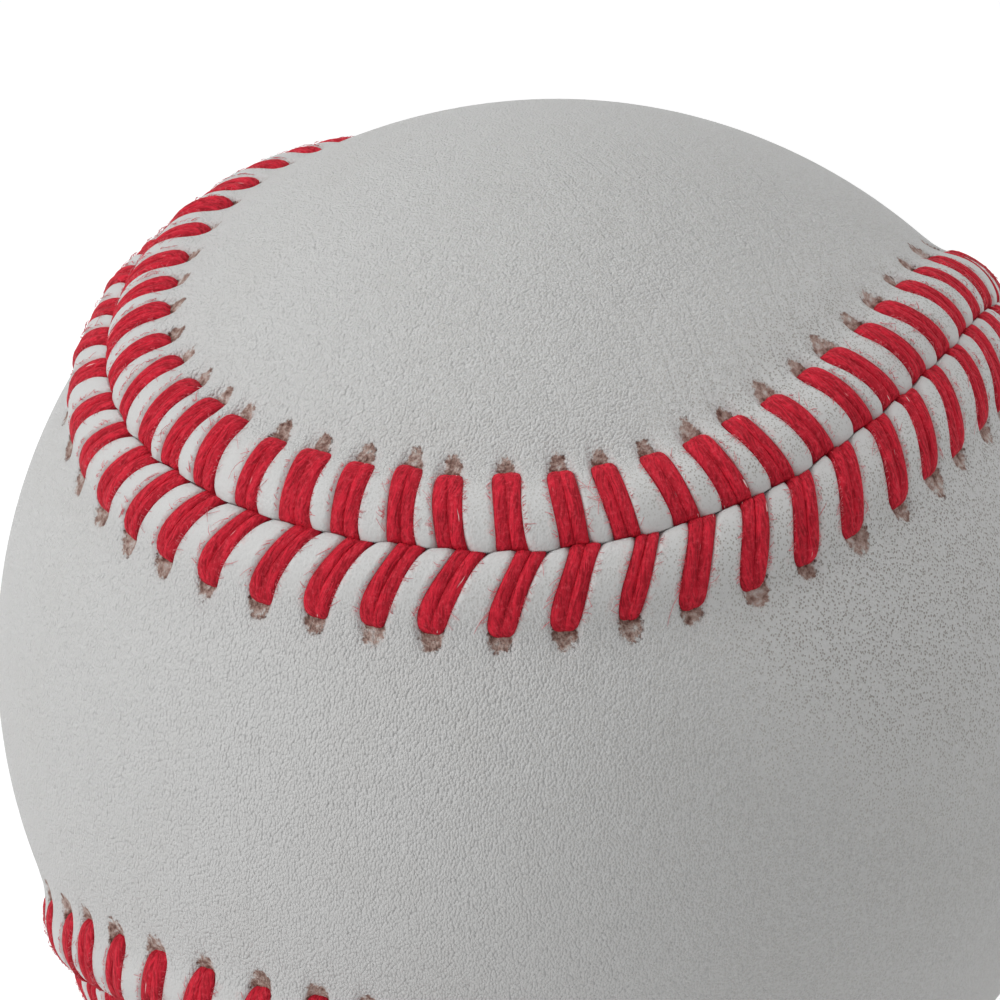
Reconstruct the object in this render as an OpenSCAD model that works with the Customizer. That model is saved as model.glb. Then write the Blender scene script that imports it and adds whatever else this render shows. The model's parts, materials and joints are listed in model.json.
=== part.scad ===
// Baseball: cushioned cork centre, wool windings, cement coat and a stitched two-piece leather cover.
// The origin is the centre of the ball. +Z runs through the round end of the upright cover panel,
// -Y runs through the narrow waist of the level cover panel, and +X through that panel's round end.

/* [Ball] */
// Diameter over the smooth leather, away from the seam
ball_d = 74; // [64:0.5:100]
// Thickness of the cover leather
leather_t = 1.3; // [1:0.1:2]
// Thickness of the cement coat under the leather
cement_t = 0.3; // [0.2:0.05:0.6]
// Clearance between one layer and the next
layer_gap = 0.05; // [0.02:0.01:0.1]

/* [Core and windings] */
// Diameter of the cork core
core_d = 20.6; // [16:0.2:26]
// Thickness of the inner rubber cushion
inner_cushion_t = 4; // [2:0.1:6]
// Thickness of the outer rubber cushion
outer_cushion_t = 3.1; // [2:0.1:5]
// Thickness of the washer between the two halves of the inner cushion
washer_t = 0.8; // [0.4:0.1:1.6]
// Thickness of the second wool winding
second_wool_t = 1.75; // [1:0.05:3]
// Thickness of the third wool winding
third_wool_t = 2; // [1:0.05:3]
// Thickness of the finish winding
finish_t = 0.4; // [0.2:0.05:1]

/* [Seam] */
// Number of stitches on each side of the seam
stitch_count = 108; // [80:2:128]
// Share of the wave that bends the seam in towards the panels' waists
wave_share = 0.278; // [0.24:0.002:0.32]
// Share that squares off the seam's round ends
corner_share = 0.037; // [0:0.001:0.05]
// Width of the slit between the two cover panels
slit_w = 0.3; // [0.2:0.05:0.6]
// Distance from the seam to the roll of the leather's edge
roll_offset = 0.7; // [0.5:0.05:1]
// Distance from the seam to the crest of the raised edge
crest_offset = 1.6; // [1.3:0.1:2.4]
// Distance from the seam to the row of stitch holes
hole_offset = 4.8; // [4:0.1:6]
// Distance from the stitch holes to where the leather lies smooth
foot_run = 2.4; // [1.5:0.1:4]
// Height of the leather's edge at the slit, between two stitches
edge_h = 0.6; // [0.2:0.05:0.8]
// Height of the roll of the edge, between two stitches
roll_h = 1.1; // [0.8:0.05:1.3]
// Height of the crest, between two stitches
crest_h = 1.35; // [1:0.05:2]
// Height of the leather between two stitch holes
hole_row_h = 0.3; // [0:0.05:0.5]
// Height of the crest where a stitch presses it down
pressed_h = 0.45; // [0.2:0.05:0.8]
// Depth of the pocket that a stitch goes down into
pocket_depth = 0.4; // [0.2:0.05:0.7]

/* [Stitches] */
// Width of a stitch, which is two strands side by side
stitch_w = 2; // [1.4:0.1:2.4]
// Thickness of a stitch
stitch_t = 1; // [0.6:0.05:1.3]
// Depth of the groove between its two strands
groove_depth = 0.22; // [0.1:0.02:0.4]
// Width of a stitch where it goes into the leather or the slit
stitch_end_w = 1.1; // [0.8:0.1:1.3]
// Thickness of a stitch at its ends
stitch_end_t = 0.5; // [0.4:0.05:0.7]
// Clearance between a stitch and the leather under it
stitch_gap = 0.06; // [0.05:0.01:0.12]
// Share of the pitch at which the first stitch of the upright panel meets the seam
start_share = 0.44; // [0:0.02:1]
// Share of the pitch by which the level panel's stitches meet the seam earlier
stagger_share = 0.32; // [0:0.02:0.5]
// Share of the pitch by which a stitch leans on the upright panel
upright_lean_share = 0.16; // [0:0.02:0.6]
// Share of the pitch by which a stitch leans on the level panel
level_lean_share = 0.54; // [0:0.02:0.6]

/* [Hidden] */
$fn = 96;
fine_fn = 240;
// Overrun of every cut past the face it goes through
overrun = 1;
ball_r = ball_d / 2;

// Radii of the layers, worked out from the outside in and from the core out
leather_inner_r = ball_r - leather_t;
cement_r = leather_inner_r - layer_gap;
cement_inner_r = cement_r - cement_t;
finish_r = cement_inner_r - layer_gap;
finish_inner_r = finish_r - finish_t;
third_wool_r = finish_inner_r - layer_gap;
third_wool_inner_r = third_wool_r - third_wool_t;
second_wool_r = third_wool_inner_r - layer_gap;
second_wool_inner_r = second_wool_r - second_wool_t;
first_wool_r = second_wool_inner_r - layer_gap;
core_r = core_d / 2;
inner_cushion_inner_r = core_r + layer_gap;
inner_cushion_r = inner_cushion_inner_r + inner_cushion_t;
outer_cushion_inner_r = inner_cushion_r + layer_gap;
outer_cushion_r = outer_cushion_inner_r + outer_cushion_t;
first_wool_inner_r = outer_cushion_r + layer_gap;

// The seam is one closed wave on the ball, the same for both panels
round_share = 1 - wave_share;
axis_share = 2 * sqrt(round_share * wave_share);
samples = 720;
sample_turn = 360 / samples;

function unit(v) = v / norm(v);

function seam_dir(turn) = unit([
    round_share * cos(turn) - wave_share * cos(3 * turn) + corner_share * cos(5 * turn),
    axis_share * cos(2 * turn),
    round_share * sin(turn) + wave_share * sin(3 * turn) + corner_share * sin(5 * turn)
]);

function sample_step(i) = ball_r * norm(seam_dir(sample_turn * i) - seam_dir(sample_turn * (i - 1)));

// Length along the seam against the turn of the wave, so that stitches can be spaced evenly
seam_table = [
    for (i = 0, s = 0; i <= samples; i = i + 1, s = s + sample_step(i))
        [s, sample_turn * i]
];
seam_length = seam_table[samples][0];
pitch = seam_length / stitch_count;

function wrap(value, size) = value - size * floor(value / size);

// A point of the cover: s along the seam, v square to it on one side, h above the smooth ball
function on_ball(s, v, h, side) =
    let (
        turn = lookup(wrap(s, seam_length), seam_table),
        out = seam_dir(turn),
        along = unit(seam_dir(turn + sample_turn) - seam_dir(turn - sample_turn)),
        across = cross(out, along),
        angle = side * v / ball_r * 180 / PI
    )
    (ball_r + h) * (out * cos(angle) + across * sin(angle));

// Heights of the leather against the distance from the seam, between stitches and under one
slit_side = slit_w / 2;
foot_offset = hole_offset + foot_run;
pillow_profile = [
    [slit_side, edge_h],
    [roll_offset, roll_h],
    [crest_offset, crest_h],
    [hole_offset, hole_row_h],
    [foot_offset, 0]
];
pressed_roll_h = pressed_h * (roll_offset - slit_side) / (crest_offset - slit_side);
channel_profile = [
    [slit_side, 0],
    [roll_offset, pressed_roll_h],
    [crest_offset, pressed_h],
    [hole_offset, -pocket_depth],
    [foot_offset, 0]
];

function between(a, b, share) = a + (b - a) * share;

function leather_h(v, share) =
    between(lookup(v, channel_profile), lookup(v, pillow_profile), share);

// Cover panels: rings of points run round the seam, two to a stitch, one on it and one between
upright = -1;
level = 1;
stations_per_stitch = 2;
stations = stations_per_stitch * stitch_count;
edge_rings = len(pillow_profile);
spans = 8;

function lean_share(side) = side == upright ? upright_lean_share : level_lean_share;
function first_share(side) = side == upright ? start_share : start_share - stagger_share;
function first_station(side) = stations * (side == upright ? 3 : 0) / 4;
function station_s(k) = (k + 1 / 2) * pitch / 2;
function half_turns(side) = round(2 * first_share(side) - 1 / 2);
function shift_share(side) = first_share(side) - 1 / 4 - half_turns(side) / 2;
function foot_shift(side) = round(2 * (shift_share(side) + lean_share(side)));

function edge_point(k, ring, side) =
    let (
        v = pillow_profile[ring][0],
        pillow = wrap(k - half_turns(side), stations_per_stitch),
        s = station_s(k) + pitch * (shift_share(side) + lean_share(side) * v / hole_offset)
    )
    on_ball(s, v, leather_h(v, pillow), side);

function wall_ring(side) =
    [for (k = [0 : stations - 1]) on_ball(station_s(k), slit_side, -leather_t - overrun, side)];

function edge_ring(ring, side) = [for (k = [0 : stations - 1]) edge_point(k, ring, side)];

function foot_ring(side) = [for (k = [0 : stations - 1]) on_ball(station_s(k), foot_offset, 0, side)];

// A point part of the way along the arc that joins two points of the ball
function on_arc(a, b, share) =
    let (angle = acos(unit(a) * unit(b)))
    (a * sin(angle * (1 - share)) + b * sin(angle * share)) / sin(angle);

// Each line crosses the panel from a station to the one opposite
lines = stations / 2;
function left_station(n, side) = wrap(n + first_station(side), stations);
function right_station(n, side) = wrap(first_station(side) - 1 - n, stations);

function line_points(ring, side) = [
    for (n = [1 : lines - 2])
        for (i = [1 : spans - 1])
            on_arc(ring[left_station(n, side)], ring[right_station(n, side)], i / spans)
];

// Index of a point: the rings come first, then the points of the crossing lines
foot_ring_no = edge_rings;
function ring_id(ring, k) = ring * stations + wrap(k, stations);
function line_id(n, i, side) =
    i == 0 ? ring_id(foot_ring_no, left_station(n, side)) :
    i == spans ? ring_id(foot_ring_no, right_station(n, side)) :
    (edge_rings + 1) * stations + (n - 1) * (spans - 1) + i - 1;

function quad(a, b, c, d) = [[a, b, c], [a, c, d]];
function reversed(face) = [face[2], face[1], face[0]];
function facing(faces, side) = side == level ? faces : [for (face = faces) reversed(face)];

function ring_faces(side) = [
    for (ring = [0 : edge_rings - 1])
        let (shift = ring == edge_rings - 1 ? foot_shift(side) : 0)
        for (k = [0 : stations - 1])
            each quad(
                ring_id(ring, k),
                ring_id(ring + 1, k + shift),
                ring_id(ring + 1, k + shift + 1),
                ring_id(ring, k + 1)
            )
];

function crossing_faces(side) = [
    for (n = [1 : lines - 3])
        for (i = [0 : spans - 1])
            each quad(
                line_id(n, i, side),
                line_id(n, i + 1, side),
                line_id(n + 1, i + 1, side),
                line_id(n + 1, i, side)
            )
];

// A fan closes each round end of the panel
function end_faces(end, near, side) = [
    for (i = [0 : spans - 1])
        [line_id(end, i < spans / 2 ? 0 : spans, side), line_id(near, i, side), line_id(near, i + 1, side)],
    [line_id(end, 0, side), line_id(near, spans / 2, side), line_id(end, spans, side)]
];

function inner_faces(side) = [
    for (n = [0 : lines - 2])
        each quad(
            ring_id(0, left_station(n, side)),
            ring_id(0, left_station(n + 1, side)),
            ring_id(0, right_station(n + 1, side)),
            ring_id(0, right_station(n, side))
        )
];

module cover_panel(side) {
    foot = foot_ring(side);
    points = concat(
        wall_ring(side),
        [for (ring = [0 : edge_rings - 2]) each edge_ring(ring, side)],
        foot,
        line_points(foot, side)
    );
    faces = concat(
        ring_faces(side),
        crossing_faces(side),
        [for (face = end_faces(0, 1, side)) reversed(face)],
        end_faces(lines - 1, lines - 2, side),
        inner_faces(side)
    );
    difference() {
        polyhedron(points = points, faces = facing(faces, side), convexity = 8);
        sphere(r = leather_inner_r, $fn = fine_fn);
    }
}

// Stitches: each lies in its pressed channel, from a pocket in the leather to the slit
stitch_run = hole_offset - slit_side;
stitch_rise_share = 0.28;
stitch_rise_offset = hole_offset - stitch_run * stitch_rise_share;

function stitch_s(j, v, side) = pitch * (j + first_share(side) + lean_share(side) * v / hole_offset);

function local_pitch(s, v, side) =
    norm(on_ball(s + pitch / 2, v, 0, side) - on_ball(s - pitch / 2, v, 0, side));

function bottom_h(v, share) = leather_h(v, share) + stitch_gap;

// The end of a stitch is a wedge and the rest of it has two rounded strands with a groove between
function end_section(j, v, side) =
    let (
        s = stitch_s(j, v, side),
        share = stitch_end_w / local_pitch(s, v, side),
        reach = share * pitch / 2,
        top = leather_h(v, 0) + stitch_end_t
    )
    [
        on_ball(s, v, bottom_h(v, 0), side),
        on_ball(s + reach, v, top, side),
        on_ball(s - reach, v, top, side)
    ];

function full_section(j, v, side) =
    let (
        s = stitch_s(j, v, side),
        share = stitch_w / local_pitch(s, v, side),
        reach = share * pitch / 2,
        top = leather_h(v, 0) + stitch_t
    )
    [
        on_ball(s, v, bottom_h(v, 0), side),
        on_ball(s + reach, v, bottom_h(v, share), side),
        on_ball(s + reach / 2, v, top, side),
        on_ball(s, v, top - groove_depth, side),
        on_ball(s - reach / 2, v, top, side),
        on_ball(s - reach, v, bottom_h(v, share), side)
    ];

stitch_hole_end = hole_offset - stitch_gap;
stitch_slit_end = slit_side + stitch_gap;

function stitch_points(j, side) = concat(
    end_section(j, stitch_hole_end, side),
    full_section(j, stitch_rise_offset, side),
    full_section(j, crest_offset, side),
    end_section(j, stitch_slit_end, side)
);

// Faces of one stitch: a fan from each wedge end to the full section, and a band between the two
end_fan = [
    [0, 3, 4], [0, 4, 1], [1, 4, 5], [1, 5, 6], [1, 6, 2],
    [2, 6, 7], [2, 7, 8], [2, 8, 3], [2, 3, 0], [0, 1, 2]
];
end_corners = 3;
band_corners = 6;
half_points = end_corners + band_corners;
points_per_stitch = 2 * half_points;

// The far end counts its points from the slit back to the crest
far_id = concat(
    [for (i = [0 : end_corners - 1]) points_per_stitch - end_corners + i],
    [for (i = [0 : band_corners - 1]) half_points + i]
);

function near_band(i) = end_corners + i % band_corners;
function far_band(i) = half_points + i % band_corners;

stitch_faces = concat(
    end_fan,
    [for (face = end_fan) reversed([for (i = face) far_id[i]])],
    [for (i = [0 : band_corners - 1]) each quad(near_band(i), far_band(i), far_band(i + 1), near_band(i + 1))]
);

module stitch_row(side) {
    points = [for (j = [0 : stitch_count - 1]) each stitch_points(j, side)];
    faces = [
        for (j = [0 : stitch_count - 1])
            for (face = stitch_faces)
                [for (i = face) i + j * points_per_stitch]
    ];
    polyhedron(points = points, faces = facing(faces, side), convexity = 8);
}

module layer(outer, inner) {
    difference() {
        sphere(r = outer);
        sphere(r = inner);
    }
}

// Half of a layer, above or below a flat joint of the given thickness
module half_layer(outer, inner, joint, up) {
    size = outer + overrun;
    difference() {
        layer(outer, inner);
        translate([-size, -size, up ? joint / 2 - size * 2 : -joint / 2])
            cube([size * 2, size * 2, size * 2]);
    }
}

cork_colour = [0.72, 0.52, 0.33];
black_rubber_colour = [0.12, 0.12, 0.13];
red_rubber_colour = [0.62, 0.16, 0.13];
grey_wool_colour = [0.55, 0.54, 0.53];
white_wool_colour = [0.88, 0.86, 0.82];
finish_colour = [0.93, 0.91, 0.86];
cement_colour = [0.85, 0.8, 0.66];
leather_colour = [0.86, 0.85, 0.83];
thread_colour = [0.74, 0.11, 0.18];

module cork_core() {
    color(cork_colour) sphere(r = core_r);
}

module inner_cushion_upper() {
    color(black_rubber_colour)
        half_layer(inner_cushion_r, inner_cushion_inner_r, washer_t + 2 * layer_gap, true);
}

module inner_cushion_lower() {
    color(black_rubber_colour)
        half_layer(inner_cushion_r, inner_cushion_inner_r, washer_t + 2 * layer_gap, false);
}

module cushion_washer() {
    color(red_rubber_colour)
        rotate_extrude()
            translate([inner_cushion_inner_r, -washer_t / 2])
                square([inner_cushion_t, washer_t]);
}

module outer_cushion_upper() {
    color(red_rubber_colour)
        half_layer(outer_cushion_r, outer_cushion_inner_r, layer_gap, true);
}

module outer_cushion_lower() {
    color(red_rubber_colour)
        half_layer(outer_cushion_r, outer_cushion_inner_r, layer_gap, false);
}

module first_wool_winding() {
    color(grey_wool_colour) layer(first_wool_r, first_wool_inner_r);
}

module second_wool_winding() {
    color(white_wool_colour) layer(second_wool_r, second_wool_inner_r);
}

module third_wool_winding() {
    color(grey_wool_colour) layer(third_wool_r, third_wool_inner_r);
}

module finish_winding() {
    color(finish_colour) layer(finish_r, finish_inner_r);
}

module cement_coat() {
    color(cement_colour) layer(cement_r, cement_inner_r);
}

module upright_cover_panel() {
    color(leather_colour) cover_panel(upright);
}

module level_cover_panel() {
    color(leather_colour) cover_panel(level);
}

module upright_stitches() {
    color(thread_colour) stitch_row(upright);
}

module level_stitches() {
    color(thread_colour) stitch_row(level);
}

cork_core();
inner_cushion_upper();
inner_cushion_lower();
cushion_washer();
outer_cushion_upper();
outer_cushion_lower();
first_wool_winding();
second_wool_winding();
third_wool_winding();
finish_winding();
cement_coat();
upright_cover_panel();
level_cover_panel();
upright_stitches();
level_stitches();
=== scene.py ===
"""Looks of the baseball: two leather cover panels, two rows of red stitches and the thread's loose fibres.

Lengths are in millimetres until a mesh is made, and metres from there on.
The seam, the stitch places and the lean of the stitches follow the same values as the solid parts.
"""

import json
import math

import bpy
import numpy as np
from mathutils import Matrix, Vector


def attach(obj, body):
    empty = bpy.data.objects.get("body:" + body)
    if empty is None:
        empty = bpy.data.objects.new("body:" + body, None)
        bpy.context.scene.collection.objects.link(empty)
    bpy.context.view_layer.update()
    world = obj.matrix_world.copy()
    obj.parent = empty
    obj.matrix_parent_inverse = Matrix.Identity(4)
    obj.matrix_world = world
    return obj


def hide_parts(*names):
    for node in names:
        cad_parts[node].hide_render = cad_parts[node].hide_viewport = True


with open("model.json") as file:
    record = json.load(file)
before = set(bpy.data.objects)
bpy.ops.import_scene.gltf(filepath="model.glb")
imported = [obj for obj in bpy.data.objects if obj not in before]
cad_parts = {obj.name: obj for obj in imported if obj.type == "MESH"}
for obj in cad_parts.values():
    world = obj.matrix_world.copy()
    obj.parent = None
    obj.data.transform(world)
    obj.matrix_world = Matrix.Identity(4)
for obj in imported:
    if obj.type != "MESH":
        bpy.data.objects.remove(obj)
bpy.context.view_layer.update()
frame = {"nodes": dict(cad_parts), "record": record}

bpy.ops.object.select_all(action="DESELECT")

MM = 0.001

# Ball and cover
BALL_R = 37.0
LEATHER_T = 1.3
INNER_GAP = 0.03

# Seam and stitches, the same values as in the solid parts
STITCHES = 108
WAVE = 0.278
CORNER = 0.037
HOLE_V = 4.8
FOOT_V = 7.2
UPRIGHT = -1
LEVEL = 1
FIRST = {UPRIGHT: 0.44, LEVEL: 0.12}
LEAN = {UPRIGHT: 0.16, LEVEL: 0.54}
BEND = 1.35
PANEL_NAMES = {UPRIGHT: "upright", LEVEL: "level"}

# The leather's own map holds the distance from the seam as a share of this many millimetres
MAP_SPAN = 10

SEED = 11
random_numbers = np.random.default_rng(SEED)


# Camera

def add_camera():
    """The photograph's view: a long lens, a little above the ball, with the ball low in the frame."""
    right = Vector((0.8695, 0.4900, 0.0623))
    up = Vector((-0.2098, 0.2522, 0.9447))
    data = bpy.data.cameras.new("camera")
    data.lens = 332.87
    data.sensor_width = 36
    data.clip_start = 0.05
    data.clip_end = 20
    camera = bpy.data.objects.new("camera", data)
    bpy.context.scene.collection.objects.link(camera)
    camera.location = (0.26841, -0.50971, 0.20660)
    camera.rotation_euler = Matrix((right, up, right.cross(up))).transposed().to_euler()
    bpy.context.scene.camera = camera


# Node trees

class Shade:
    """A number or colour of a material, so that shader maths reads as plain expressions."""

    def __init__(self, recipe, socket):
        self.recipe = recipe
        self.socket = socket

    def combine(self, operation, first, second):
        return self.recipe.add("ShaderNodeMath", {"operation": operation}, {0: first, 1: second})

    def __add__(self, other):
        return self.combine("ADD", self, other)

    def __radd__(self, other):
        return self.combine("ADD", other, self)

    def __sub__(self, other):
        return self.combine("SUBTRACT", self, other)

    def __rsub__(self, other):
        return self.combine("SUBTRACT", other, self)

    def __mul__(self, other):
        return self.combine("MULTIPLY", self, other)

    def __rmul__(self, other):
        return self.combine("MULTIPLY", other, self)

    def __truediv__(self, other):
        return self.combine("DIVIDE", self, other)


class Recipe:
    """The node tree of one material, or of the world."""

    def __init__(self, owner):
        owner.use_nodes = True
        self.nodes = owner.node_tree.nodes
        self.links = owner.node_tree.links
        self.nodes.clear()

    def add(self, kind, settings=None, sockets=None, output=0):
        """Adds a node: its settings first, then values or links for its sockets."""
        node = self.nodes.new(kind)
        for name, value in (settings or {}).items():
            if name == "stops":
                for place, colour in value[1:-1]:
                    node.color_ramp.elements.new(place)
                for element, (place, colour) in zip(node.color_ramp.elements, value):
                    element.position = place
                    element.color = (*colour, 1)
            else:
                setattr(node, name, value)
        for key, value in (sockets or {}).items():
            if isinstance(value, Shade):
                self.links.new(value.socket, node.inputs[key])
            else:
                node.inputs[key].default_value = value
        return Shade(self, node.outputs[output]) if node.outputs else None

    def absolute(self, value):
        return self.add("ShaderNodeMath", {"operation": "ABSOLUTE"}, {0: value})

    def floor(self, value):
        return self.add("ShaderNodeMath", {"operation": "FLOOR"}, {0: value})

    def smooth(self, value, low, high):
        """0 below low and 1 above high, with a soft step between; low may be the greater one."""
        return self.add(
            "ShaderNodeMapRange",
            {"interpolation_type": "SMOOTHSTEP"},
            {"Value": value, "From Min": low, "From Max": high},
        )

    def noise(self, place, scale, detail=2.0, roughness=0.5, output=0):
        return self.add(
            "ShaderNodeTexNoise",
            {},
            {"Vector": place, "Scale": scale, "Detail": detail, "Roughness": roughness},
            output,
        )

    def cells(self, place, scale):
        """Distance from the nearest of many scattered points."""
        return self.add("ShaderNodeTexVoronoi", {}, {"Vector": place, "Scale": scale})

    def mix(self, share, first, second):
        """A colour between two colours."""
        first = first if isinstance(first, Shade) else (*first, 1)
        second = second if isinstance(second, Shade) else (*second, 1)
        return self.add("ShaderNodeMix", {"data_type": "RGBA"}, {0: share, 6: first, 7: second}, 2)

    def vector(self, x, y, z=0.0):
        return self.add("ShaderNodeCombineXYZ", {}, {0: x, 1: y, 2: z})

    def stretch(self, place, scales, turns=(0, 0, 0)):
        """A place turned and stretched about the middle of the ball."""
        return self.add("ShaderNodeMapping", {}, {"Vector": place, "Rotation": turns, "Scale": scales})

    def place_mm(self):
        """The place on the ball in millimetres from its middle."""
        place = self.add("ShaderNodeTexCoord", {}, {}, "Object")
        return self.stretch(place, (1 / MM, 1 / MM, 1 / MM))

    def map_values(self, name):
        """The two numbers of a piece's own map."""
        uv = self.add("ShaderNodeUVMap", {"uv_map": name})
        return [self.add("ShaderNodeSeparateXYZ", {}, {0: uv}, axis) for axis in range(2)]

    def along(self, place, direction):
        """How far a place lies along a direction."""
        return self.add(
            "ShaderNodeVectorMath", {"operation": "DOT_PRODUCT"}, {0: place, 1: direction}, 1
        )

    def bump(self, height, distance_mm):
        return self.add("ShaderNodeBump", {}, {"Height": height, "Distance": distance_mm * MM})

    def finish(self, sockets):
        """The surface itself, with its colour, roughness and bump."""
        surface = self.add("ShaderNodeBsdfPrincipled", {}, sockets)
        self.add("ShaderNodeOutputMaterial", {}, {"Surface": surface})


def new_recipe(name):
    material = bpy.data.materials.new(name)
    return Recipe(material), material


# Seam of the ball

ROUND = 1 - WAVE
AXIS = 2 * math.sqrt(ROUND * WAVE)


def seam_direction(turn):
    """Directions of the seam from the middle of the ball at the given turns of its wave."""
    x = ROUND * np.cos(turn) - WAVE * np.cos(3 * turn) + CORNER * np.cos(5 * turn)
    y = AXIS * np.cos(2 * turn)
    z = ROUND * np.sin(turn) + WAVE * np.sin(3 * turn) + CORNER * np.sin(5 * turn)
    direction = np.stack([x, y, z], axis=-1)
    return direction / np.linalg.norm(direction, axis=-1, keepdims=True)


# The seam's length, measured in fine steps of its turn
TURNS = np.linspace(0, 2 * math.pi, 7201)
STEPS = BALL_R * np.linalg.norm(np.diff(seam_direction(TURNS), axis=0), axis=1)
LENGTHS = np.concatenate([[0], np.cumsum(STEPS)])
SEAM_LENGTH = LENGTHS[-1]
PITCH = SEAM_LENGTH / STITCHES

# Slow waves over the ball, cut off just under the true sphere
SWELL_COUNT = 14
SWELLS = random_numbers.normal(0, 1, (SWELL_COUNT, 3)) * 3.2
SWELL_STARTS = random_numbers.uniform(0, 2 * math.pi, SWELL_COUNT)
SWELL_HEIGHT = 0.03
SWELL_DROP = 4
SWELL_TOP = -0.2


def swell(direction):
    """Slight unevenness of the wound ball under the leather, never above the true sphere."""
    waves = np.sin(direction @ SWELLS.T + SWELL_STARTS).sum(axis=-1)
    return SWELL_HEIGHT * np.minimum(waves - SWELL_DROP, SWELL_TOP)


# The slit is pulled a little to and fro by the stitches, and wanders a little besides;
# this fades out over a few millimetres of leather
DRIFT_WAVES = np.array([23, 41, 67, 95])
DRIFT_STARTS = random_numbers.uniform(0, 2 * math.pi, 4)
DRIFT_SHARES = np.array([0.04, 0.04, 0.03, 0.03])
PULL = 0.06
PULL_PHASE = 0.25
DRIFT_REACH = 3

# Half the turn over which the seam's own direction is taken
TURN_STEP = 0.004


def drift(s):
    """How far the slit lies off the seam's even curve, towards the level panel."""
    turn = 2 * math.pi * s / SEAM_LENGTH
    wander = (DRIFT_SHARES * np.sin(turn[..., None] * DRIFT_WAVES + DRIFT_STARTS)).sum(axis=-1)
    return wander + PULL * np.sin(STITCHES * turn + 2 * math.pi * PULL_PHASE)


def on_ball(s, v, h, side):
    """Points: s along the seam, v square to it on one side, h above the cover."""
    s, v, h = np.broadcast_arrays(s, v, h)
    turn = np.interp(np.mod(s, SEAM_LENGTH), LENGTHS, TURNS)
    out = seam_direction(turn)
    along = seam_direction(turn + TURN_STEP) - seam_direction(turn - TURN_STEP)
    along = along / np.linalg.norm(along, axis=-1, keepdims=True)
    across = np.cross(out, along)
    drifted = drift(s) * np.clip(1 - v / DRIFT_REACH, 0, 1)
    angle = ((side * v + drifted) / BALL_R)[..., None]
    direction = out * np.cos(angle) + across * np.sin(angle)
    return direction * (BALL_R + h + swell(direction))[..., None]


def seam_scale(s, v, side):
    """Length on the ball, at distance v from the seam, of one millimetre along the seam."""
    return np.linalg.norm(on_ball(s + 0.5, v, 0.0, side) - on_ball(s - 0.5, v, 0.0, side), axis=-1)


def soft_step(x, low, high):
    """0 below low and 1 above high, with a soft step between."""
    t = np.clip((x - low) / (high - low), 0, 1)
    return t * t * (3 - 2 * t)


def smooth_table(places, values):
    """A smooth curve through a short table of values."""
    dense = np.linspace(places[0], places[-1], 400)
    curve = np.interp(dense, places, values)
    kernel = np.hanning(31)
    padded = np.pad(curve, 15, mode="edge")
    curve = np.convolve(padded, kernel / kernel.sum(), mode="valid")
    return lambda x: np.interp(x, dense, curve)


# Each stitch is sewn a little differently

class Row:
    """The stitches of one side of the seam, with what differs from stitch to stitch.

    wander and tilt: place along the seam and lean, in pitches of the stitches
    width and puff: shares of a stitch's width and of the leather's height beside it
    lift and reach: height of a stitch and place of its hole, in millimetres
    tear: how its hole is torn, from 0 to 1
    """

    def __init__(self, side):
        self.side = side
        self.wander = random_numbers.normal(0, 0.035, STITCHES)
        self.tilt = random_numbers.normal(0, 0.045, STITCHES)
        self.width = random_numbers.normal(1, 0.06, STITCHES)
        self.lift = random_numbers.normal(0, 0.03, STITCHES)
        self.reach = random_numbers.normal(0, 0.13, STITCHES)
        self.tear = random_numbers.uniform(0, 1, STITCHES)
        self.puff = random_numbers.normal(1, 0.05, STITCHES)

    def path(self, u, v):
        """Place along the seam of the line u stitches on from the first, at distance v from the seam."""
        first = np.floor(u).astype(int)
        share = soft_step(u - first, 0, 1)
        here = first % STITCHES
        after = (first + 1) % STITCHES
        wander = self.wander[here] * (1 - share) + self.wander[after] * share
        tilt = self.tilt[here] * (1 - share) + self.tilt[after] * share
        reached = np.clip(v / HOLE_V, 0, 1)
        bend = 1 - (1 - reached) ** BEND
        lean = LEAN[self.side] + tilt
        return PITCH * (u + FIRST[self.side] + wander + lean * bend)

    def gap(self, v):
        """Distance from each stitch to the next one at distance v from the seam."""
        u = np.arange(STITCHES + 1)[:, None]
        points = on_ball(self.path(u, v[None, :]), v[None, :], 0.0, self.side)
        return np.linalg.norm(np.diff(points, axis=0), axis=-1)


ROWS = {UPRIGHT: Row(UPRIGHT), LEVEL: Row(LEVEL)}

# Height of the leather between two stitches against the distance from the seam
pillow_height = smooth_table(
    [0, 0.1, 0.2, 0.35, 0.6, 1, 1.6, 2.2, 2.8, 3.4, 4.0, 4.6, 5.2, 6.0, 7.2],
    [0.8, 0.92, 1.0, 1.09, 1.2, 1.32, 1.43, 1.45, 1.36, 1.18, 0.91, 0.57, 0.28, 0.08, 0],
)

# Depth that a stitch presses the leather down, and half the width of its channel
channel_depth = smooth_table(
    [0, 0.4, 1, 2, 3, 4, 4.4, 4.8, 5.2, 5.6, 6.1, 6.6, 7.2],
    [0.7, 0.8, 0.8, 0.8, 0.8, 0.8, 0.8, 0.7, 0.46, 0.3, 0.14, 0.03, 0],
)
CHANNEL_PLACES = [0, 0.5, 1, 3, 4.4, 5, 5.8, 6.6, 7.2]
CHANNEL_HALF = {
    UPRIGHT: smooth_table(CHANNEL_PLACES, [1.5, 1.2, 1.12, 1.14, 1.14, 1.08, 1.05, 0.95, 0.7]),
    LEVEL: smooth_table(CHANNEL_PLACES, [1.45, 1.16, 1.12, 1.24, 1.14, 1.08, 1.05, 0.95, 0.7]),
}

# Share of a channel's half width that is flat, and how far the pocket at a hole differs in length
CHANNEL_FLAT = 0.42
POCKET_SPREAD = 0.25


# Cover panels

# Columns of faces to each stitch, and spans of the arcs that cross a panel on its grain and flesh sides
COLUMNS_EACH = 20
OUTER_SPANS = 52
INNER_SPANS = 24

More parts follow.
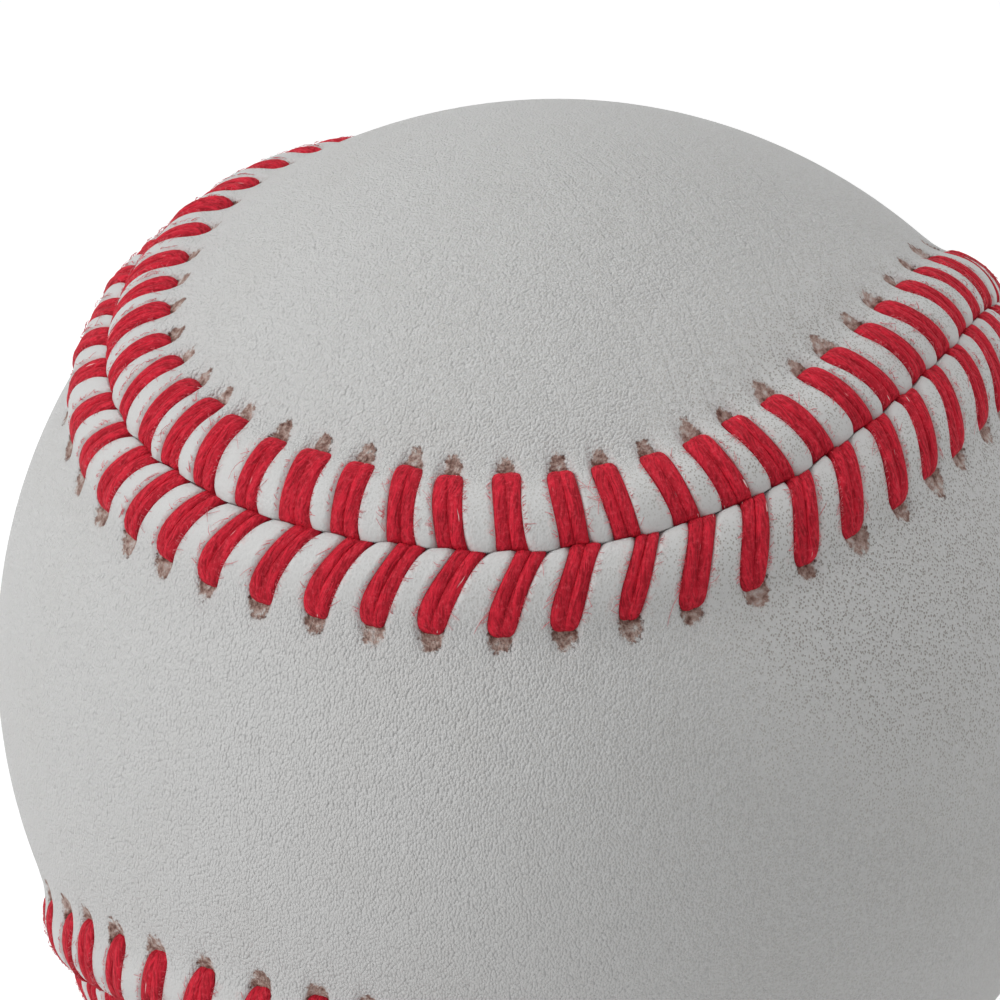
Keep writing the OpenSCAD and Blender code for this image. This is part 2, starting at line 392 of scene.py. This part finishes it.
# Distances from the seam: of the leather's edge, of the panel's middle in the map, and of each ring
EDGE_V = 0.03
MIDDLE_V = 9.0
RING_V = np.array([
    0.03, 0.1, 0.2, 0.3, 0.45, 0.65, 0.9, 1.2, 1.55, 1.95, 2.4, 2.85, 3.3, 3.7, 4.05,
    4.35, 4.6, 4.85, 5.1, 5.35, 5.65, 6.0, 6.5, 7.2,
])


def leather_points(side):
    """Points of the leather near the seam: one ring for each distance, with the same columns in all."""
    row = ROWS[side]
    u = np.arange(COLUMNS_EACH * STITCHES) / COLUMNS_EACH
    stitch = np.floor(u).astype(int)
    after = (stitch + 1) % STITCHES
    share = u - stitch
    gap = row.gap(RING_V)[stitch]
    v = RING_V[None, :]
    height = pillow_height(v) * row.puff[stitch][:, None]
    for owner, distance in ((stitch, share[:, None] * gap), (after, (1 - share[:, None]) * gap)):
        tear = row.tear[owner][:, None]
        half = CHANNEL_HALF[side](v) * row.width[owner][:, None]
        longer = POCKET_SPREAD * (tear - 0.5) * (v > HOLE_V)
        depth = channel_depth(v - row.reach[owner][:, None] - longer)
        height = height - depth * (1 - soft_step(distance / half, CHANNEL_FLAT, 1))
    s = row.path(u[:, None], v)
    return on_ball(s, v, height, side).transpose(1, 0, 2)


def arc_points(start, end, count):
    """Directions along the arcs of the ball from each start to its end."""
    a = start / np.linalg.norm(start, axis=1, keepdims=True)
    b = end / np.linalg.norm(end, axis=1, keepdims=True)
    angle = np.arccos(np.clip((a * b).sum(axis=1), -1, 1))[:, None, None]
    share = (np.arange(1, count) / count)[None, :, None]
    return (a[:, None] * np.sin(angle * (1 - share)) + b[:, None] * np.sin(angle * share)) / np.sin(angle)


def at_radius(points, radius):
    """The points moved straight out or in to a radius."""
    return points / np.linalg.norm(points, axis=1, keepdims=True) * radius


class Skin:
    """Collects the points and faces of one panel, with the map that says how far each is from the seam."""

    def __init__(self):
        self.points = []
        self.count = 0
        self.faces = []
        self.maps = []

    def add_points(self, points):
        start = self.count
        self.points.append(points)
        self.count += len(points)
        return start

    def add_face(self, corners, places):
        self.faces.append(corners)
        self.maps.append(places)

    def band(self, lower, upper, count, values):
        """Quads between two rings of the same number of points."""
        low_v, high_v = values
        for k in range(count):
            after = (k + 1) % count
            u0 = k * STITCHES / count
            u1 = (k + 1) * STITCHES / count
            self.add_face(
                (lower + k, upper + k, upper + after, lower + after),
                ((u0, low_v), (u0, high_v), (u1, high_v), (u1, low_v)),
            )

    def halving_band(self, fine, coarse, count, v):
        """Five-sided faces between a ring and one with half as many points."""
        for k in range(count):
            after = (k + 1) % count
            middle = 2 * k + 1
            u = k * STITCHES / count
            self.add_face(
                (fine + 2 * k, coarse + k, coarse + after, fine + (2 * after), fine + middle),
                ((u, v),) * 5,
            )

    def crossing(self, ring, count, first, arcs, v):
        """Closes a ring of count points with arcs that cross the panel, on both sides of its first point."""
        lines, inner = arcs.shape[0], arcs.shape[1]
        start = self.add_points(arcs.reshape(-1, 3))
        spans = inner + 1

        def corner(n, i):
            if i == 0:
                return ring + (first + n) % count
            if i == spans:
                return ring + (first - 1 - n) % count
            return start + (n - 1) * inner + i - 1

        for n in range(1, lines):
            for i in range(spans):
                face = (corner(n, i), corner(n, i + 1), corner(n + 1, i + 1), corner(n + 1, i))
                self.add_face(face, ((0.5, v),) * len(face))
        for outer, near, turned in ((0, 1, True), (lines + 1, lines, False)):
            face = (corner(outer, 0), *(corner(near, i) for i in range(spans + 1)), corner(outer, spans))
            self.add_face(tuple(reversed(face)) if turned else face, ((0.5, v),) * len(face))


def build_panel(side):
    """One figure-eight panel of cover leather, closed all round: skin, slit edge and flesh side."""
    skin = Skin()
    rings = leather_points(side)
    count = rings.shape[1]
    starts = [skin.add_points(ring) for ring in rings]
    for number in range(len(starts) - 1):
        skin.band(starts[number], starts[number + 1], count, (RING_V[number], RING_V[number + 1]))

    def crossing_first(ring):
        """The station at the middle of the panel's round end."""
        middle = 0.75 * SEAM_LENGTH if side == UPRIGHT else 0.0
        target = on_ball(np.array([middle]), np.array([0.0]), 0.0, side)[0]
        return int(np.argmin(np.linalg.norm(ring - target, axis=1)))

    def close(ring_start, ring, spans, flesh_radius):
        """Arcs across the panel, on the uneven ball or at the radius of the flesh side."""
        number = len(ring)
        first = crossing_first(ring)
        n = np.arange(1, number // 2 - 1)
        left = ring[(first + n) % number]
        right = ring[(first - 1 - n) % number]
        arcs = arc_points(left, right, spans)
        if flesh_radius is None:
            radius = BALL_R + swell(arcs)[..., None]
        else:
            radius = flesh_radius
        skin.crossing(ring_start, number, first, arcs * radius, MIDDLE_V)

    def thin_out(start, near_v, step_v, radius):
        """Two more rings, each with half the points of the one before, at the ball's or a given radius."""
        for factor in (2, 4):
            v = near_v + step_v * factor
            u = np.arange(COLUMNS_EACH * STITCHES // factor) * factor / COLUMNS_EACH
            ring = on_ball(ROWS[side].path(u, np.full_like(u, v)), v, 0.0, side)
            if radius is not None:
                ring = at_radius(ring, radius)
            ring_start = skin.add_points(ring)
            skin.halving_band(start, ring_start, len(ring), v)
            start = ring_start
        return start, ring

    outer, ring = thin_out(starts[-1], FOOT_V, 0.35, None)
    close(outer, ring, OUTER_SPANS, None)

    inner_r = BALL_R - LEATHER_T + INNER_GAP
    wall = at_radius(rings[0], inner_r)
    wall_start = skin.add_points(wall)
    flesh_first = len(skin.faces)
    skin.band(starts[0], wall_start, count, (EDGE_V, EDGE_V))
    inner, ring = thin_out(wall_start, EDGE_V, 0.5, inner_r)
    close(inner, ring, INNER_SPANS, inner_r)
    for number in range(flesh_first, len(skin.faces)):
        skin.faces[number] = tuple(reversed(skin.faces[number]))
        skin.maps[number] = tuple(reversed(skin.maps[number]))

    faces = skin.faces
    maps = skin.maps
    if side == UPRIGHT:
        faces = [tuple(reversed(face)) for face in faces]
        maps = [tuple(reversed(places)) for places in maps]
    name = PANEL_NAMES[side] + "_cover_leather"
    mesh = bpy.data.meshes.new(name)
    mesh.from_pydata(np.concatenate(skin.points) * MM, [], faces)
    seam_map = mesh.uv_layers.new(name="seam_map")
    flat = np.array([place for places in maps for place in places], float)
    flat[:, 1] /= MAP_SPAN
    seam_map.data.foreach_set("uv", flat.ravel())
    mesh.shade_smooth()
    panel = bpy.data.objects.new(name, mesh)
    bpy.context.scene.collection.objects.link(panel)
    return panel


# Stitches

# One stitch from its hole to the slit: distance from the seam, height over the leather between two
# stitches, half the width of the two strands together, and half their thickness
STITCH_SECTIONS = {
    UPRIGHT: [
        (4.8, -1.4, 0.82, 0.36),
        (4.79, -0.62, 0.9, 0.44),
        (4.6, -0.3, 0.95, 0.5),
        (3.8, -0.36, 0.97, 0.52),
        (2.7, -0.4, 0.98, 0.53),
        (1.6, -0.4, 0.98, 0.53),
        (0.7, -0.4, 0.98, 0.53),
        (0.15, -0.38, 1.0, 0.5),
        (-0.02, -0.48, 1.0, 0.46),
        (-0.04, -1.3, 0.9, 0.4),
    ],
    LEVEL: [
        (4.9, -1.4, 0.7, 0.36),
        (4.89, -0.62, 0.8, 0.44),
        (4.68, -0.32, 0.93, 0.5),
        (3.8, -0.36, 1.06, 0.53),
        (2.7, -0.4, 1.06, 0.54),
        (1.6, -0.4, 0.99, 0.53),
        (0.7, -0.4, 0.95, 0.53),
        (0.1, -0.36, 0.94, 0.5),
        (-0.12, -0.46, 0.84, 0.46),
        (-0.14, -1.3, 0.7, 0.4),
    ],
}

# How far a row's ends may reach over the slit: the level row lies over the end of the other one
OVER_SLIT = {UPRIGHT: 0.0, LEVEL: 0.12}
STRAND_SIDES = 8

# Offset of each strand from the middle of its stitch, and half its own width, as shares of the stitch's half
STRAND_OFFSET = 0.45
STRAND_HALF = 0.58

# How far the corners of a strand's cross-section stand out past a round one
SQUARENESS = 1.14

# Towards the hole the two strands close up and widen, as shares of their offset and width
MERGE_CLOSE = 0.35
MERGE_WIDEN = 0.28

# The map moves on by this much from one strand to the next
STRAND_MAP_STEP = 2.0

# Small differences from strand to strand: thickness, height, and a slow change of width along the strand
THICKNESS_SPREAD = 0.08
HEIGHT_SPREAD = 0.03
BULGE = 0.05
BULGE_SPAN = 4.4


def model_strand():
    """One straight strand of a stitch, of unit length along X and unit radius."""
    segments = len(STITCH_SECTIONS[UPRIGHT]) - 1
    bpy.ops.mesh.primitive_cylinder_add(
        vertices=STRAND_SIDES, radius=1, depth=1, end_fill_type="NGON", rotation=(0, math.pi / 2, 0)
    )
    strand = bpy.context.object
    bpy.ops.object.transform_apply(location=False, rotation=True, scale=False)
    bpy.ops.object.mode_set(mode="EDIT")
    bpy.ops.mesh.select_mode(type="EDGE")
    bpy.ops.mesh.select_all(action="DESELECT")
    bpy.ops.object.mode_set(mode="OBJECT")
    for edge in strand.data.edges:
        ends = [strand.data.vertices[i].co.x for i in edge.vertices]
        edge.select = abs(ends[0] - ends[1]) > 0.5
    bpy.ops.object.mode_set(mode="EDIT")
    bpy.ops.mesh.subdivide(number_cuts=segments - 1)
    bpy.ops.object.mode_set(mode="OBJECT")
    return strand


def strand_maps(mesh):
    """Map of the strand: how far along it, and how far round it, for each corner of each face."""
    maps = []
    for face in mesh.polygons:
        centre = math.atan2(face.center.z, face.center.y)
        for corner in face.vertices:
            x, y, z = mesh.vertices[corner].co
            turn = math.atan2(z, y)
            turn += 2 * math.pi * round((centre - turn) / (2 * math.pi))
            maps.append((x + 0.5, turn / (2 * math.pi) + 0.5))
    return np.array(maps)


def build_stitches(side, strand):
    """A row of 108 stitches of two strands each, copied from one strand and laid over the leather."""
    row = ROWS[side]
    places = np.array([vertex.co for vertex in strand.data.vertices])
    squared = (np.abs(places[:, 1]) > 0.5) & (np.abs(places[:, 2]) > 0.5)
    places[squared, 1:] *= SQUARENESS
    corners = [tuple(face.vertices) for face in strand.data.polygons]
    flat_map = strand_maps(strand.data)
    path_v, path_h, path_width, path_thick = np.array(STITCH_SECTIONS[side]).T
    path_h = path_h + pillow_height(path_v)
    step = np.rint((places[:, 0] + 0.5) * (len(path_v) - 1)).astype(int)
    centre_v, centre_h = path_v[step], path_h[step]
    half_width, half_thick = path_width[step], path_thick[step]
    slope_v, slope_h = np.gradient(path_v)[step], np.gradient(path_h)[step]
    size = np.hypot(slope_v, slope_h)
    normal_v, normal_h = slope_h / size, -slope_v / size
    merged = soft_step(centre_v, 4.0, HOLE_V)

    points, faces, maps = [], [], []
    for j in range(STITCHES):
        for strand_side in (-1, 1):
            squash = 1 + THICKNESS_SPREAD * random_numbers.normal()
            rise = row.lift[j] + HEIGHT_SPREAD * random_numbers.normal()
            width = half_width * row.width[j]
            bulge = 1 + BULGE * np.sin(2 * math.pi * (centre_v / BULGE_SPAN + row.tear[j]))
            offset = strand_side * STRAND_OFFSET * (1 - MERGE_CLOSE * merged)
            away = width * bulge * (offset + places[:, 1] * STRAND_HALF * (1 + MERGE_WIDEN * merged))
            up = places[:, 2] * half_thick * squash
            v = centre_v + normal_v * up + row.reach[j] * soft_step(centre_v, 2.5, 4.6)
            v = np.maximum(v, -OVER_SLIT[side])
            h = centre_h + normal_h * up + rise * soft_step(centre_v, 0.2, 1)
            u = np.full_like(v, float(j))
            s = row.path(u, v)
            start = len(points) * len(places)
            points.append(on_ball(s + away / seam_scale(s, v, side), v, h, side))
            for face in corners:
                face = tuple(start + i for i in face)
                faces.append(tuple(reversed(face)) if side == UPRIGHT else face)
            maps.append(flat_map + (STRAND_MAP_STEP * len(maps), 0.0))
    name = PANEL_NAMES[side] + "_thread"
    mesh = bpy.data.meshes.new(name)
    mesh.from_pydata(np.concatenate(points) * MM, [], faces)
    layer = mesh.uv_layers.new(name="strand_map")
    flat = np.concatenate(maps)
    if side == UPRIGHT:
        face_sizes = [len(face) for face in corners] * (2 * STITCHES)
        face_ends = np.cumsum(face_sizes)
        flat = np.concatenate([flat[end - count:end][::-1] for end, count in zip(face_ends, face_sizes)])
    layer.data.foreach_set("uv", flat.ravel())
    mesh.shade_smooth()
    thread = bpy.data.objects.new(name, mesh)
    bpy.context.scene.collection.objects.link(thread)
    rounding = thread.modifiers.new("rounding", "SUBSURF")
    rounding.levels = 1
    rounding.render_levels = 1
    return thread


# Loose fibres

FIBRES_EACH = 40
FIBRE_RINGS = 5
FIBRE_SIDES = 3


def build_fibres(side):
    """Loose fibres that stand off the edges of the stitches."""
    row = ROWS[side]
    t = np.linspace(0, 1, FIBRE_RINGS)
    points, faces = [], []
    for j in range(STITCHES):
        for _ in range(FIBRES_EACH):
            edge = random_numbers.choice([-1, 1], p=[0.45, 0.55])
            v0 = random_numbers.uniform(0.5, 4.5)
            length = random_numbers.gamma(1.3, 0.16) + 0.14
            slant = random_numbers.normal(0.2, 0.6)
            curl = random_numbers.normal(0, 0.5)
            radius = random_numbers.uniform(0.016, 0.026)
            v = np.clip(v0 + length * (slant * t + curl * t * t), 0.3, 6.0)
            away = edge * (0.96 * row.width[j] + length * t)
            high = 0.08 + 0.1 * np.sin(math.pi * t) * random_numbers.uniform(0.2, 1.3)
            h = pillow_height(v) + high - 0.16 * t
            s = row.path(np.full(FIBRE_RINGS, float(j)), v)
            line = on_ball(s + away / seam_scale(s, v, side), v, h, side)
            forward = np.gradient(line, axis=0)
            forward /= np.linalg.norm(forward, axis=1, keepdims=True)
            out = line / np.linalg.norm(line, axis=1, keepdims=True)
            sideways = np.cross(forward, out)
            sideways /= np.linalg.norm(sideways, axis=1, keepdims=True)
            upward = np.cross(sideways, forward)
            start = len(points) * FIBRE_SIDES * FIBRE_RINGS
            taper = radius * (1 - 0.6 * t)[:, None]
            lines = []
            for corner in range(FIBRE_SIDES):
                angle = 2 * math.pi * corner / FIBRE_SIDES
                lines.append(line + taper * (sideways * math.cos(angle) + upward * math.sin(angle)))
            points.append(np.stack(lines, axis=1).reshape(-1, 3))
            for ring in range(start, start + FIBRE_SIDES * (FIBRE_RINGS - 1), FIBRE_SIDES):
                for corner in range(FIBRE_SIDES):
                    a = ring + corner
                    b = ring + (corner + 1) % FIBRE_SIDES
                    faces.append((a, b, b + FIBRE_SIDES, a + FIBRE_SIDES))
            tip = start + FIBRE_SIDES * (FIBRE_RINGS - 1)
            faces.append((start, start + 2, start + 1))
            faces.append((tip, tip + 1, tip + 2))
    name = PANEL_NAMES[side] + "_thread_fibres"
    mesh = bpy.data.meshes.new(name)
    mesh.from_pydata(np.concatenate(points) * MM, [], faces)
    fibres = bpy.data.objects.new(name, mesh)
    bpy.context.scene.collection.objects.link(fibres)
    return fibres


# Materials

# Millimetres from one stitch to the next, along a strand, and round it, for the patterns
STITCH_SPAN = 3.6
STRAND_LENGTH = 5
STRAND_GIRTH = 3.3


def leather_finish(name):
    """Off-white tanned leather: pebbled grain, creases, faint stains, and torn flesh in the stitch holes,
    with painted pinkish shade beside the stitches and painted shade in the holes.
    """
    recipe, material = new_recipe(name)
    place = recipe.place_mm()
    count, far = recipe.map_values("seam_map")
    v = far * MAP_SPAN
    stitch = recipe.floor(count + 0.5)
    from_stitch = (count - stitch) * STITCH_SPAN
    luck = recipe.add("ShaderNodeTexWhiteNoise", {"noise_dimensions": "1D"}, {"W": stitch})

    # Grain: small domed pebbles, with darker pores on the shoulder that lies up on the right
    warp = recipe.noise(place, 0.9, 2.0, 0.5, 1)
    warped = recipe.add(
        "ShaderNodeVectorMath", {"operation": "MULTIPLY_ADD"}, {0: warp, 1: (0.15, 0.15, 0.15), 2: place}
    )
    cell = recipe.cells(recipe.stretch(warped, (1, 1, 0.72)), 6.2)
    fine = recipe.noise(place, 6.5, 2.0, 0.6)
    coarse = recipe.noise(place, 2.3, 1.0)
    broad = recipe.noise(place, 0.16, 2.0)
    rightward = recipe.along(place, (0.82, -0.22, 0.53)) + broad * 5
    shoulder = recipe.smooth(rightward, 32.5, 38.5)
    pore = recipe.smooth(cell + (fine - 0.5) * 0.3, 0.46, 0.2)
    flat = recipe.smooth(v, 3.0, 5.6)

    # Creases where the hide was stretched over the top
    across = recipe.along(warped, (0.474, 0.878, -0.077))
    lengthwise = recipe.along(warped, (0.788, -0.461, -0.409))
    lay = recipe.vector(across * 0.8, lengthwise * 0.1)
    crease_noise = recipe.noise(lay, 1.0, 2.0, 0.5)
    crease_place = recipe.smooth(recipe.along(place, (0.43, -0.15, 0.89)) + broad * 4, 33.5, 37.5)
    crease = recipe.smooth(recipe.absolute(crease_noise - 0.5), 0.08, 0.0) * crease_place * flat

    # Torn flesh at the hole of each stitch
    ragged = recipe.noise(place, 2.2, 3.0, 0.65)
    outward = (v - 5.15) / (1.15 + luck * 0.4)
    sideways = (from_stitch + (luck - 0.5) * 0.3) / (0.7 + luck * 0.12)
    reach = sideways * sideways + outward * outward + (ragged - 0.5) * 2.2
    torn = recipe.smooth(reach, 1.05, 0.6) * recipe.smooth(v, 3.9, 4.3)

    # Colours: stains and mottling, then pores, painted pinkish shade beside the thread, and the flesh of the
    # torn holes with painted shade near the stitch's end
    stain = recipe.smooth(recipe.noise(place, 0.11, 4.0, 0.6), 0.45, 0.75)
    clean = recipe.mix(stain * 0.3, (0.588, 0.588, 0.583), (0.545, 0.538, 0.522))
    mottled = recipe.mix(recipe.smooth(fine, 0.7, 0.3) * 0.15, clean, (0.50, 0.495, 0.485))
    pore_share = 0.03 + 0.32 * recipe.smooth(rightward, 12, 32) + 0.4 * shoulder
    pored = pore * pore_share * recipe.smooth(v, 0.0, 1.8)
    pebbled = recipe.mix(pored, mottled, (0.25, 0.225, 0.19))
    # Painted pinkish shade on the leather beside each stitch
    thread_shade = recipe.smooth(recipe.absolute(from_stitch), 1.6, 1.0) * recipe.smooth(v, 5.2, 4.2)
    thread_shaded = recipe.mix(thread_shade * recipe.smooth(ragged, 0.45, 0.75) * 0.5, pebbled, (0.58, 0.33, 0.32))
    flesh_noise = recipe.noise(place, 2.2, 3.0, 0.6) * 0.75 + 0.11 + luck * 0.06
    # The flesh is pushed darker towards the stitch's end, deep in the hole: painted shade
    flesh = recipe.add(
        "ShaderNodeValToRGB",
        {"stops": [
            (0.34, (0.10, 0.04, 0.03)),
            (0.44, (0.26, 0.16, 0.13)),
            (0.55, (0.43, 0.32, 0.28)),
            (0.66, (0.56, 0.52, 0.49)),
        ]},
        {0: flesh_noise - recipe.smooth(v, 5.5, 4.9) * 0.12},
    )
    colour = recipe.mix(torn, thread_shaded, flesh)

    # Height of the grain, for the bump
    shreds = 0.4 + 1.0 * recipe.smooth(flesh_noise, 0.6, 0.35)
    pebble = fine * 0.25 + coarse * 0.5 - cell * cell * 1.15 * (1 - 0.6 * shoulder) - pore * shoulder * 0.5
    grain = pebble * (0.25 + 0.75 * flat)
    recipe.finish({
        "Base Color": colour,
        "Roughness": 0.5 + 0.12 * fine + 0.25 * torn,
        "Normal": recipe.bump(grain - crease * 0.45 - torn * shreds * 0.65, 0.105),
        "Specular IOR Level": 0.42,
    })
    return material


def thread_finish(name):
    """Waxed crimson thread: plies and fibres twisted along each strand, with a few pale flecks of lint,
    painted shade in the ply valleys and at the strands' ends, and painted sheen in pale patches.
    """
    recipe, material = new_recipe(name)
    place = recipe.place_mm()
    along, around = recipe.map_values("strand_map")
    strand = recipe.floor(along / STRAND_MAP_STEP)
    x = (along - strand * STRAND_MAP_STEP) * STRAND_LENGTH
    waver = recipe.noise(recipe.vector(x * 0.9, around * 2.5, strand * 1.7), 1.0, 1.0)
    y = around * STRAND_GIRTH + x * 0.3 + waver * 0.7
    fibre = recipe.noise(recipe.vector(x * 2.4, y * 7.5, strand * 3.1), 1.0, 3.0, 0.6)
    ply = recipe.add("ShaderNodeMath", {"operation": "SINE"}, {0: (y / 1.1 + strand * 0.37) * (2 * math.pi)})
    tufts_and_sheen = recipe.noise(place, 4.0, 3.0, 0.6)
    ends = recipe.smooth(recipe.absolute(x - STRAND_LENGTH / 2), 1.6, 2.4)
    red = recipe.mix(recipe.smooth(fibre, 0.3, 0.62), (0.30, 0.003, 0.012), (0.66, 0.014, 0.037))
    # Darker in the valleys between the plies: painted shade
    ply_shaded = recipe.mix(recipe.smooth(ply, 0.1, -0.9) * 0.3, red, (0.26, 0.002, 0.009))
    # Pale pink patches: painted sheen; the same noise also gives the fuzz its bump
    sheen_painted = recipe.mix(recipe.smooth(tufts_and_sheen, 0.48, 0.72) * 0.45, ply_shaded, (0.80, 0.065, 0.095))
    # Darker towards both ends of each strand, where it dives into the leather: painted shade
    end_shaded = recipe.mix(ends * 0.35, sheen_painted, (0.26, 0.002, 0.008))
    streak = recipe.noise(recipe.vector(x * 0.9, around * 16, strand * 5.3), 1.0, 1.0)
    lint = recipe.smooth(streak, 0.76, 0.8)
    recipe.finish({
        "Base Color": recipe.mix(lint * 0.8, end_shaded, (0.85, 0.68, 0.66)),
        "Roughness": 0.8 - 0.2 * fibre,
        "Normal": recipe.bump(fibre * 0.9 + ply * 0.3 + tufts_and_sheen * 0.4, 0.18),
        "Specular IOR Level": 0.2,
    })
    return material


def fibre_finish(name):
    """Loose thread fibres, a little paler than the thread."""
    recipe, material = new_recipe(name)
    tone = recipe.noise(recipe.place_mm(), 0.9, 1.0)
    colour = recipe.mix(tone, (0.50, 0.03, 0.05), (0.64, 0.16, 0.18))
    recipe.finish({"Base Color": colour, "Roughness": 0.6 + 0.2 * tone})
    return material


def granule_finish(name, dark, light, scale, roughness, depth):
    """Pressed granules, as in cork."""
    recipe, material = new_recipe(name)
    place = recipe.place_mm()
    grain = recipe.cells(place, scale)
    speck = recipe.noise(place, scale * 2.5, 3.0, 0.6)
    colour = recipe.mix(recipe.smooth(grain * 0.6 + speck * 0.6, 0.25, 0.8), dark, light)
    recipe.finish({
        "Base Color": colour,
        "Roughness": roughness + 0.1 * speck,
        "Normal": recipe.bump(grain + speck * 0.4, depth),
    })
    return material


def rubber_finish(name, dark, light):
    """Moulded rubber: fine, shallow granules."""
    return granule_finish(name, dark, light, 2.5, 0.6, 0.03)


def wound_finish(name, shadow, light, yarns_per_mm, depth):
    """Yarn wound in many directions over the ball."""
    recipe, material = new_recipe(name)
    place = recipe.place_mm()
    height = 0.0
    for turns in ((0.3, 0.2, 0), (1.1, -0.5, 0.7), (-0.6, 1.0, 0.4)):
        lay = recipe.stretch(place, (yarns_per_mm, yarns_per_mm * 0.06, yarns_per_mm * 0.06), turns)
        yarn = recipe.noise(lay, 1.0, 2.0, 0.5)
        height = yarn * 0.5 + height
    tone = recipe.smooth(height, 0.5, 1.0)
    recipe.finish({
        "Base Color": recipe.mix(tone, shadow, light),
        "Roughness": 0.85 + 0.05 * tone,
        "Normal": recipe.bump(height, depth),
    })
    return material


def coat_finish(name):
    """Brushed cement, uneven and slightly glossy."""
    recipe, material = new_recipe(name)
    place = recipe.place_mm()
    streak = recipe.noise(recipe.stretch(place, (1.4, 0.2, 0.2)), 1.0, 3.0, 0.6)
    recipe.finish({
        "Base Color": recipe.mix(streak, (0.55, 0.44, 0.26), (0.74, 0.66, 0.48)),
        "Roughness": 0.35 + 0.2 * streak,
        "Normal": recipe.bump(streak, 0.08),
    })
    return material


def dress(piece, material):
    piece.data.materials.clear()
    piece.data.materials.append(material)


def dress_inside():
    """Finishes of the cork, rubber and yarn inside, which keep their solid shapes."""
    finishes = {
        "cork": granule_finish("cork", (0.20, 0.10, 0.04), (0.55, 0.35, 0.17), 0.9, 0.8, 0.25),
        "black_rubber": rubber_finish("black_rubber", (0.014, 0.014, 0.015), (0.03, 0.03, 0.032)),
        "red_rubber": rubber_finish("red_rubber", (0.24, 0.02, 0.012), (0.38, 0.04, 0.025)),
        "grey_wool": wound_finish("grey_wool", (0.12, 0.115, 0.11), (0.32, 0.31, 0.30), 1.3, 0.3),
        "white_wool": wound_finish("white_wool", (0.45, 0.42, 0.37), (0.78, 0.75, 0.69), 1.6, 0.25),
        "finish_yarn": wound_finish("finish_yarn", (0.5, 0.47, 0.41), (0.84, 0.81, 0.74), 3.0, 0.12),
        "cement": coat_finish("cement"),
    }
    for entry in frame["record"]["subparts"]:
        slot = entry["material_slot"]
        if slot in finishes:
            node = frame["nodes"][entry["node"]]
            node.data.materials.clear()
            node.data.materials.append(finishes[slot])


# Floor, world and lamps

# Light of the world and glow of the floor on the ball, and what the camera sees besides to make both white
AMBIENT = 0.15
FLOOR_GLOW = 0.22
FLOOR_GLOW_SEEN = 0.4
FLOOR_COLOUR = (0.6, 0.6, 0.6, 1)

LAMP_DISTANCE = 0.8

# Direction from the ball, width in metres and power in watts of each lamp
LAMPS = {
    "left_softbox": ((-0.62, -0.70, 0.40), 0.6, 4.18),
    "rear_softbox": ((0.72, 0.50, 0.55), 0.5, 1.08),
    "top_softbox": ((-0.05, 0.10, 0.98), 0.5, 2.34),
    "right_softbox": ((0.60, -0.60, 0.40), 0.7, 0.96),
}


def camera_or_mirror(recipe):
    """1 for rays that the camera, a gloss or a clear material sends, and 0 for light."""
    sees = [recipe.add("ShaderNodeLightPath", {}, {}, name)
            for name in ("Is Camera Ray", "Is Glossy Ray", "Is Transmission Ray")]
    return sees[0] + sees[1] + sees[2]


def add_floor():
    """A white floor that keeps the ball's shadow."""
    bpy.ops.mesh.primitive_plane_add(size=8, location=(0, 0, -BALL_R * MM))
    floor = bpy.context.object
    floor.name = "floor"
    recipe, material = new_recipe("floor_white")
    soft = recipe.add("ShaderNodeBsdfDiffuse", {}, {"Color": FLOOR_COLOUR})
    strength = FLOOR_GLOW + camera_or_mirror(recipe) * FLOOR_GLOW_SEEN
    glow = recipe.add("ShaderNodeEmission", {}, {"Color": (1, 1, 1, 1), "Strength": strength})
    both = recipe.add("ShaderNodeAddShader", {}, {0: soft, 1: glow})
    recipe.add("ShaderNodeOutputMaterial", {}, {"Surface": both})
    floor.data.materials.append(material)


def add_world():
    world = bpy.data.worlds.new("studio")
    bpy.context.scene.world = world
    recipe = Recipe(world)
    seen = camera_or_mirror(recipe)
    strength = AMBIENT + seen * (1 - AMBIENT)
    light = recipe.add("ShaderNodeBackground", {}, {"Color": (1, 1, 1, 1), "Strength": strength})
    recipe.add("ShaderNodeOutputWorld", {}, {"Surface": light})


def add_lamp(name, direction, size, power):
    """A soft square lamp that faces the ball."""
    data = bpy.data.lights.new(name, "AREA")
    data.shape = "SQUARE"
    data.size = size
    data.energy = power
    lamp = bpy.data.objects.new(name, data)
    bpy.context.scene.collection.objects.link(lamp)
    towards = Vector(direction).normalized()
    lamp.location = towards * LAMP_DISTANCE
    lamp.rotation_euler = towards.to_track_quat("Z", "Y").to_euler()


# The whole scene

add_camera()
add_world()
for name, (direction, size, power) in LAMPS.items():
    add_lamp(name, direction, size, power)
add_floor()
dress_inside()

leather = leather_finish("cover_leather")
thread = thread_finish("red_thread")
fuzz = fibre_finish("thread_fibre")
strand = model_strand()
for side in (UPRIGHT, LEVEL):
    panel = build_panel(side)
    stitches = build_stitches(side, strand)
    fibres = build_fibres(side)
    dress(panel, leather)
    dress(stitches, thread)
    dress(fibres, fuzz)
    for piece in (panel, stitches, fibres):
        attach(piece, "root")
    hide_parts(PANEL_NAMES[side] + "_cover_panel")
    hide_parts(PANEL_NAMES[side] + "_stitches")
bpy.data.objects.remove(strand)

bpy.context.scene.view_settings.view_transform = "Standard"
